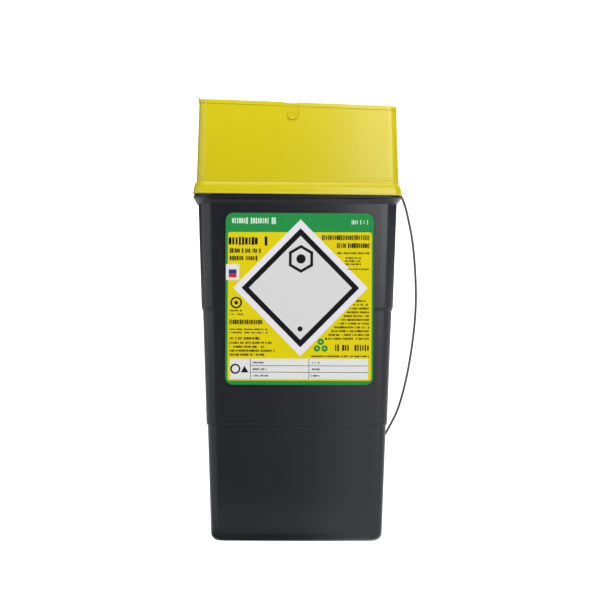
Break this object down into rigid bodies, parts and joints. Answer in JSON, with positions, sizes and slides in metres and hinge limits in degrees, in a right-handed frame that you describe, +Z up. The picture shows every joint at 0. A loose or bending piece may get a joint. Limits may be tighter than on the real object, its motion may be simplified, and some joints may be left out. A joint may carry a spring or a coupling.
{
  "type": "sharps container",
  "caption": "Small free-standing sharps container: stepped tapered tub, deep clipped-down lid with a hinged flip cover, and a carry strap that hangs behind it.",
  "frame": {"origin": "centre of the resting face under the tub", "axes": "+Z up out of the lid, -Y out of the labelled front, +X to the viewer's right"},
  "size_m": [0.0995, 0.0809, 0.191],
  "materials": {
    "tub_plastic": "fine satin moulded polypropylene, dark grey",
    "lid_plastic": "satin moulded polypropylene, yellow",
    "label_print": "printed film label, semi-gloss",
    "strap_plastic": "flexible moulded strap, dark brown"
  },
  "bodies": {
    "container": {"container_body": "tub_plastic", "front_label": "label_print", "lid_shell": "lid_plastic"},
    "flap": {"flap_cover": "lid_plastic"},
    "release_pad": {"press_pad": "lid_plastic"},
    "lock_tab": {"securing_tab": "lid_plastic"},
    "strap": {"carry_strap": "strap_plastic"}
  },
  "joints": [
    {"name": "flap_hinge", "type": "hinge", "parent": "container", "child": "flap", "pos_m": [0, 0.03711, 0.1868], "axis": [-1, 0, 0], "range_deg": [0, 110]},
    {"name": "release_press", "type": "slide", "parent": "container", "child": "release_pad", "axis": [0, 1, 0], "range_m": [0, 0.0008], "stiffness_N_per_m": 2000},
    {"name": "lock_tab_push", "type": "slide", "parent": "flap", "child": "lock_tab", "axis": [0, 0, -1], "range_m": [0, 0.0012]},
    {"name": "strap_swing", "type": "hinge", "parent": "container", "child": "strap", "pos_m": [0, 0.04068, 0.148], "axis": [1, 0, 0], "range_deg": [0, 160]}
  ]
}
